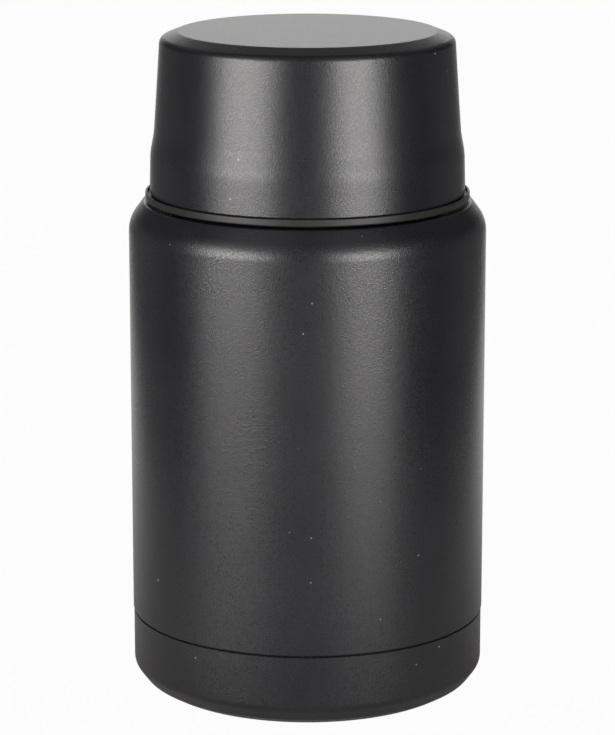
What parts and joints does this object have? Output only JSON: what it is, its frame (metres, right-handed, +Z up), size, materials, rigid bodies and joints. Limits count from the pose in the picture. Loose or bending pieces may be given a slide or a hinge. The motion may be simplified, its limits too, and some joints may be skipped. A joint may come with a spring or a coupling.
{
  "type": "insulated food jar",
  "caption": "Insulated food jar: double-walled vacuum body, screw-in stopper with a push-button vent, and a screw-on cup that serves as a bowl.",
  "frame": {"origin": "middle of the base's underside, on the surface that the jar stands on", "axes": "+Z up along the jar's axis; the jar is round, so +X and +Y are any two directions across it"},
  "size_m": [0.1, 0.1, 0.1863],
  "materials": {
    "powder_coat": "satin charcoal-black powder coat with a fine orange-peel grain on stainless steel",
    "bare_steel": "brushed stainless steel with turned rings",
    "spring_steel": "drawn spring wire",
    "seal_glass": "fused sealing glass, grey",
    "getter_alloy": "pressed and sintered metal powder",
    "copper_foil": "thin copper foil, slightly creased",
    "gloss_black": "glossy black moulded polypropylene",
    "moulded_grey": "fine-sparked dark grey moulded polypropylene",
    "silicone": "translucent pale grey silicone rubber",
    "foam": null
  },
  "bodies": {
    "jar": {"outer_shell": "powder_coat", "inner_liner": "bare_steel", "base_cup": "powder_coat", "vacuum_base": "bare_steel", "seal_bead": "seal_glass", "getter": "getter_alloy", "getter_clip": "bare_steel", "reflector_foil": "copper_foil"},
    "stopper_core": {"stopper_insulation": "foam"},
    "stopper_seal": {"stopper_gasket": "silicone"},
    "stopper": {"stopper_shell": "gloss_black", "stopper_plug": "moulded_grey", "vent_spring": "spring_steel"},
    "vent": {"vent_button": "gloss_black", "vent_stem": "moulded_grey", "vent_valve": "silicone"},
    "cup_core": {"cup_insulation": "foam"},
    "cup_seal": {"cup_gasket": "silicone"},
    "cup": {"cup_shell": "powder_coat", "cup_liner": "moulded_grey"}
  },
  "joints": [
    {"name": "stopper_lift", "type": "slide", "parent": "jar", "child": "stopper_core", "axis": [0, 0, 1], "range_m": [0, 0.12]},
    {"name": "stopper_rise", "type": "slide", "parent": "stopper_core", "child": "stopper_seal", "axis": [0, 0, 1], "range_m": [0, 0.004]},
    {"name": "stopper_turn", "type": "hinge", "parent": "stopper_seal", "child": "stopper", "pos_m": [0, 0, 0.145], "axis": [0, 0, 1], "range_deg": [0, 360]},
    {"name": "vent_press", "type": "slide", "parent": "stopper", "child": "vent", "axis": [0, 0, -1], "range_m": [0, 0.003], "stiffness_N_per_m": 400, "springref_m": -0.002, "deforming": ["vent_spring"]},
    {"name": "cup_lift", "type": "slide", "parent": "stopper", "child": "cup_core", "axis": [0, 0, 1], "range_m": [0, 0.1]},
    {"name": "cup_rise", "type": "slide", "parent": "cup_core", "child": "cup_seal", "axis": [0, 0, 1], "range_m": [0, 0.003]},
    {"name": "cup_turn", "type": "hinge", "parent": "cup_seal", "child": "cup", "pos_m": [0, 0, 0.15], "axis": [0, 0, 1], "range_deg": [0, 270]}
  ],
  "couplings": [
    {"joint": "stopper_rise", "follows": "stopper_turn", "m_per_rad": 0.00063661},
    {"joint": "cup_rise", "follows": "cup_turn", "m_per_rad": 0.00063661}
  ]
}
